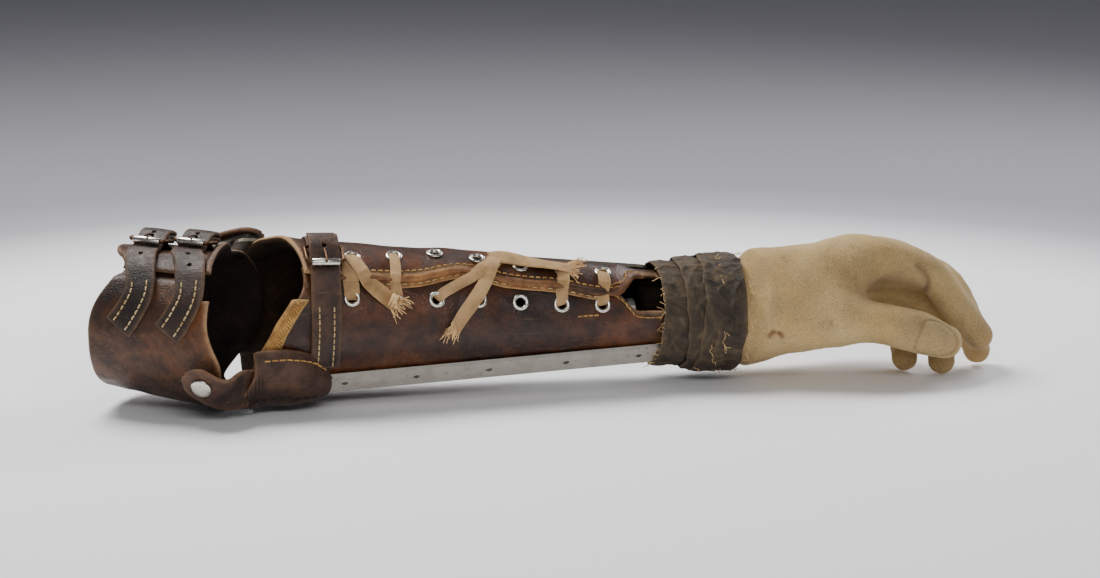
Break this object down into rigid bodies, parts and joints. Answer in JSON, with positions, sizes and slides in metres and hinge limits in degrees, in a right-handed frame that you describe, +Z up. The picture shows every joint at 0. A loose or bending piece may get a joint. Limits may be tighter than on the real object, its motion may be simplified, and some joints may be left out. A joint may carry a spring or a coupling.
{
  "type": "prosthetic arm",
  "caption": "Left below-elbow artificial arm: laced leather forearm socket on steel side bars, hinged buckled upper-arm cuff, taped wrist and soft curled hand.",
  "frame": {"origin": "middle of the bounding box footprint, on the surface the arm rests on", "axes": "+X from the cuff along the forearm to the fingertips, level; +Z up as the arm lies at rest; +Y away from the wearer's medial side, so that the thumb is on the -Y side"},
  "size_m": [0.4902, 0.113, 0.0924],
  "materials": {
    "socket_leather": "worn vegetable-tanned leather, satin with darker rubbed patches",
    "strap_leather": "dark chocolate strap leather, dull with scuffed edges",
    "tab_leather": "reddish-brown reinforcing leather, slightly polished by wear",
    "binding_leather": "thin ochre binding leather, cracked and faded",
    "lace": "flat woven cotton lace, soiled beige",
    "steel": "satin ground steel",
    "nickel": "tarnished nickel plate",
    "wood": "turned hardwood, unvarnished",
    "tape": "wound dark cloth tape, matt and frayed",
    "felt": "thin khaki felt, soiled, matt"
  },
  "bodies": {
    "forearm": {"forearm_socket": "socket_leather", "brim_binding": "binding_leather", "lacing_edge_roll": "binding_leather", "medial_eyelet_1": "nickel", "lateral_eyelet_1": "nickel", "medial_eyelet_2": "nickel", "lateral_eyelet_2": "nickel", "medial_eyelet_3": "nickel", "lateral_eyelet_3": "nickel", "medial_eyelet_4": "nickel", "lateral_eyelet_4": "nickel", "medial_eyelet_5": "nickel", "lateral_eyelet_5": "nickel", "medial_eyelet_6": "nickel", "lateral_eyelet_6": "nickel", "medial_eyelet_7": "nickel", "lateral_eyelet_7": "nickel", "lace_proximal": "lace", "lace_middle": "lace", "lace_distal": "lace", "medial_side_bar": "steel", "medial_joint_cover": "strap_leather", "medial_pivot_pin": "steel", "medial_bar_rivet_1": "steel", "medial_bar_rivet_2": "steel", "medial_bar_rivet_3": "steel", "medial_bar_rivet_4": "steel", "medial_bar_rivet_5": "steel", "lateral_side_bar": "steel", "lateral_pivot_pin": "steel", "lateral_bar_rivet_1": "steel", "lateral_bar_rivet_2": "steel", "lateral_bar_rivet_3": "steel", "forearm_buckle_frame": "nickel", "forearm_strap": "strap_leather", "forearm_chape": "strap_leather", "wrist_tape": "tape", "wrist_block": "wood", "wrist_stud": "steel", "hand": "felt"},
    "elbow_links": {"medial_elbow_link": "steel", "medial_hinge_tab": "tab_leather", "medial_cuff_rivet": "nickel", "lateral_elbow_link": "steel", "lateral_hinge_tab": "tab_leather", "lateral_cuff_rivet": "nickel"},
    "cuff": {"cuff_shell": "socket_leather", "proximal_buckle_frame": "nickel", "proximal_cuff_strap": "strap_leather", "proximal_cuff_chape": "strap_leather", "distal_buckle_frame": "nickel", "distal_cuff_strap": "strap_leather", "distal_cuff_chape": "strap_leather"},
    "forearm_prong_body": {"forearm_buckle_prong": "nickel"},
    "proximal_prong_body": {"proximal_buckle_prong": "nickel"},
    "distal_prong_body": {"distal_buckle_prong": "nickel"},
    "forearm_roller_body": {"forearm_buckle_roller": "nickel"},
    "proximal_roller_body": {"proximal_buckle_roller": "nickel"},
    "distal_roller_body": {"distal_buckle_roller": "nickel"}
  },
  "joints": [
    {"name": "elbow_flex", "type": "hinge", "parent": "forearm", "child": "elbow_links", "pos_m": [-0.15913, 0.00547, 0.04435], "axis": [0.025, 0.6561, 0.7543], "range_deg": [-4, 38]},
    {"name": "cuff_rock", "type": "hinge", "parent": "elbow_links", "child": "cuff", "pos_m": [-0.18971, -0.04506, 0.02357], "axis": [0.0652, 0.8859, 0.4592], "range_deg": [-5, 5]},
    {"name": "forearm_prong_lift", "type": "hinge", "parent": "forearm", "child": "forearm_prong_body", "pos_m": [-0.12499, -0.01461, 0.08413], "axis": [-0.9995, 0, 0.0332], "range_deg": [0, 20]},
    {"name": "forearm_roller_turn", "type": "hinge", "parent": "forearm", "child": "forearm_roller_body", "pos_m": [-0.12518, -0.02769, 0.0784], "axis": [-0.9995, 0, 0.0332], "continuous": true},
    {"name": "proximal_prong_lift", "type": "hinge", "parent": "cuff", "child": "proximal_prong_body", "pos_m": [-0.20607, 0.01738, 0.08514], "axis": [-0.8849, 0.4606, 0.0698], "range_deg": [0, 20]},
    {"name": "proximal_roller_turn", "type": "hinge", "parent": "cuff", "child": "proximal_roller_body", "pos_m": [-0.21244, 0.00481, 0.08744], "axis": [-0.8849, 0.4606, 0.0698], "continuous": true},
    {"name": "distal_prong_lift", "type": "hinge", "parent": "cuff", "child": "distal_prong_body", "pos_m": [-0.18475, 0.00621, 0.08539], "axis": [-0.8849, 0.4606, 0.0698], "range_deg": [0, 20]},
    {"name": "distal_roller_turn", "type": "hinge", "parent": "cuff", "child": "distal_roller_body", "pos_m": [-0.19111, -0.00636, 0.08769], "axis": [-0.8849, 0.4606, 0.0698], "continuous": true}
  ]
}
